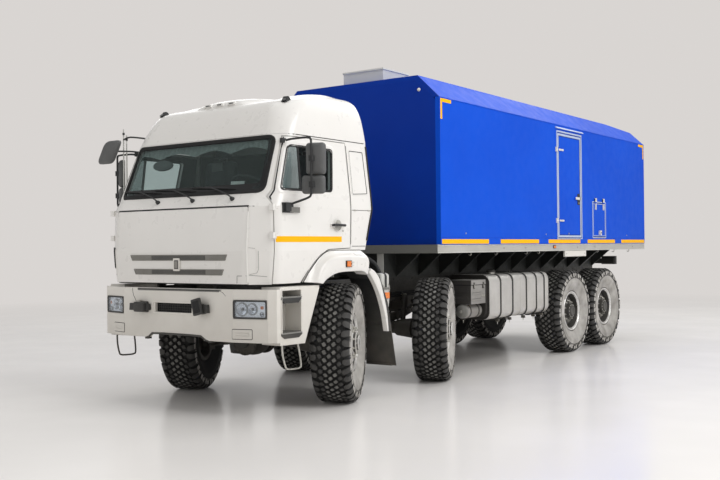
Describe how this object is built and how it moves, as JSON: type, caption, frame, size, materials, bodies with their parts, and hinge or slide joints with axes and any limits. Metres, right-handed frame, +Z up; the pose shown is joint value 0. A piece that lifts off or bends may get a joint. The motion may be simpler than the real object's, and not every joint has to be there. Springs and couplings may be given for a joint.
{
  "type": "steam generator truck",
  "caption": "Off-road truck with a tilting high-roof cab, steered front axles and a van body that holds a steam generator.",
  "frame": {"origin": "middle of the truck's bounding box, on the ground under the wheels", "axes": "+X to the vehicle's left, +Y rearward, +Z up; the truck faces -Y"},
  "size_m": [3.02, 10.27, 3.9],
  "materials": {
    "white_paint": "gloss cab paint",
    "blue_paint": "satin body paint",
    "grey_paint": "satin platform paint",
    "black_steel": "satin chassis paint",
    "cast": "plain cast",
    "tank_aluminium": "dull sheet",
    "box_grey": "satin",
    "black_plastic": "grained",
    "clear_glass": "tinted clear",
    "lamp_lens": "clear lamp",
    "seat_fabric": "woven",
    "tyre_rubber": "matte",
    "rim_paint": "satin"
  },
  "bodies": {
    "chassis": {"chassis_frame": "black_steel", "axles": "black_steel", "leaf_springs": "black_steel", "driveline": "black_steel", "engine": "cast", "fuel_tanks": "tank_aluminium", "battery_carriers": "box_grey", "air_cleaner": "box_grey", "platform": "grey_paint", "box_side_walls": "blue_paint", "box_end_walls": "blue_paint", "box_roof": "blue_paint", "roof_unit": "grey_paint", "steam_plant": "cast", "bumper": "white_paint", "headlamps": "lamp_lens", "step_boxes": "white_paint", "mudguards": "black_plastic", "tow_forks": "black_steel", "rear_guard": "black_steel"},
    "cab": {"cab_shell": "white_paint", "cab_roof": "white_paint", "windshield": "clear_glass", "seats": "seat_fabric", "dashboard": "black_plastic", "wheel_arches": "white_paint"},
    "cab_door_left": {"door_left": "white_paint", "door_glass_left": "clear_glass", "mirror_left": "black_plastic"},
    "cab_door_right": {"door_right": "white_paint", "door_glass_right": "clear_glass", "mirror_right": "black_plastic"},
    "front_panel": {"front_panel": "white_paint"},
    "box_door_left": {"box_door_left": "blue_paint"},
    "box_door_right": {"box_door_right": "blue_paint"},
    "box_hatch": {"box_hatch": "blue_paint"},
    "box_rear_door": {"box_rear_door": "blue_paint"},
    "knuckle_1_left": {"knuckle_1_left": "black_steel"},
    "wheel_1_left": {"tyre_1_left": "tyre_rubber", "rim_1_left": "rim_paint"},
    "knuckle_1_right": {"knuckle_1_right": "black_steel"},
    "wheel_1_right": {"tyre_1_right": "tyre_rubber", "rim_1_right": "rim_paint"},
    "knuckle_2_left": {"knuckle_2_left": "black_steel"},
    "wheel_2_left": {"tyre_2_left": "tyre_rubber", "rim_2_left": "rim_paint"},
    "knuckle_2_right": {"knuckle_2_right": "black_steel"},
    "wheel_2_right": {"tyre_2_right": "tyre_rubber", "rim_2_right": "rim_paint"},
    "wheel_3_left": {"tyre_3_left": "tyre_rubber", "rim_3_left": "rim_paint"},
    "wheel_3_right": {"tyre_3_right": "tyre_rubber", "rim_3_right": "rim_paint"},
    "wheel_4_left": {"tyre_4_left": "tyre_rubber", "rim_4_left": "rim_paint"},
    "wheel_4_right": {"tyre_4_right": "tyre_rubber", "rim_4_right": "rim_paint"}
  },
  "joints": [
    {"name": "steer_1_left", "type": "hinge", "parent": "chassis", "child": "knuckle_1_left", "pos_m": [0.889, -3.77, 0.625], "axis": [0, 0, 1], "range_deg": [-57, 3]},
    {"name": "wheel_1_left_spin", "type": "hinge", "parent": "knuckle_1_left", "child": "wheel_1_left", "pos_m": [1.02354, -3.70145, 0.625], "axis": [0.891, 0.454, 0], "continuous": true},
    {"name": "steer_1_right", "type": "hinge", "parent": "chassis", "child": "knuckle_1_right", "pos_m": [-0.889, -3.77, 0.625], "axis": [0, 0, 1], "range_deg": [-57, 3]},
    {"name": "wheel_1_right_spin", "type": "hinge", "parent": "knuckle_1_right", "child": "wheel_1_right", "pos_m": [-1.02354, -3.83855, 0.625], "axis": [0.891, 0.454, 0], "continuous": true},
    {"name": "steer_2_left", "type": "hinge", "parent": "chassis", "child": "knuckle_2_left", "pos_m": [0.889, -1.83, 0.625], "axis": [0, 0, 1], "range_deg": [-51.98, 2.78]},
    {"name": "wheel_2_left_spin", "type": "hinge", "parent": "knuckle_2_left", "child": "wheel_2_left", "pos_m": [1.02629, -1.76714, 0.625], "axis": [0.9092, 0.4163, 0], "continuous": true},
    {"name": "steer_2_right", "type": "hinge", "parent": "chassis", "child": "knuckle_2_right", "pos_m": [-0.889, -1.83, 0.625], "axis": [0, 0, 1], "range_deg": [-51.98, 2.78]},
    {"name": "wheel_2_right_spin", "type": "hinge", "parent": "knuckle_2_right", "child": "wheel_2_right", "pos_m": [-1.02629, -1.89286, 0.625], "axis": [0.9092, 0.4163, 0], "continuous": true},
    {"name": "wheel_3_left_spin", "type": "hinge", "parent": "chassis", "child": "wheel_3_left", "pos_m": [1.04, 1.99, 0.625], "axis": [1, 0, 0], "continuous": true},
    {"name": "wheel_3_right_spin", "type": "hinge", "parent": "chassis", "child": "wheel_3_right", "pos_m": [-1.04, 1.99, 0.625], "axis": [1, 0, 0], "continuous": true},
    {"name": "wheel_4_left_spin", "type": "hinge", "parent": "chassis", "child": "wheel_4_left", "pos_m": [1.04, 3.31, 0.625], "axis": [1, 0, 0], "continuous": true},
    {"name": "wheel_4_right_spin", "type": "hinge", "parent": "chassis", "child": "wheel_4_right", "pos_m": [-1.04, 3.31, 0.625], "axis": [1, 0, 0], "continuous": true},
    {"name": "cab_tilt", "type": "hinge", "parent": "chassis", "child": "cab", "pos_m": [0, -4.97, 1.35], "axis": [1, 0, 0], "range_deg": [0, 50]},
    {"name": "cab_door_left_hinge", "type": "hinge", "parent": "cab", "child": "cab_door_left", "pos_m": [1.166, -4.879, 1.9], "axis": [0, 0, -1], "range_deg": [0, 70]},
    {"name": "cab_door_right_hinge", "type": "hinge", "parent": "cab", "child": "cab_door_right", "pos_m": [-1.166, -4.879, 1.9], "axis": [0, 0, 1], "range_deg": [0, 70]},
    {"name": "front_panel_hinge", "type": "hinge", "parent": "cab", "child": "front_panel", "pos_m": [0, -4.995, 2.03], "axis": [-1, 0, 0], "range_deg": [0, 75]},
    {"name": "box_door_left_hinge", "type": "hinge", "parent": "chassis", "child": "box_door_left", "pos_m": [1.264, 1.386, 2.5], "axis": [0, 0, -1], "range_deg": [0, 115]},
    {"name": "box_door_right_hinge", "type": "hinge", "parent": "chassis", "child": "box_door_right", "pos_m": [-1.264, 1.386, 2.5], "axis": [0, 0, 1], "range_deg": [0, 115]},
    {"name": "box_hatch_hinge", "type": "hinge", "parent": "chassis", "child": "box_hatch", "pos_m": [1.264, 2.985, 2.304], "axis": [0, -1, 0], "range_deg": [0, 110]},
    {"name": "box_rear_door_hinge", "type": "hinge", "parent": "chassis", "child": "box_rear_door", "pos_m": [0.454, 5.121, 2.5], "axis": [0, 0, -1], "range_deg": [0, 115]}
  ],
  "couplings": [
    {"joint": "steer_1_right", "follows": "steer_1_left", "ratio": 1},
    {"joint": "steer_2_left", "follows": "steer_1_left", "ratio": 0.91111},
    {"joint": "steer_2_right", "follows": "steer_1_left", "ratio": 0.91111}
  ]
}
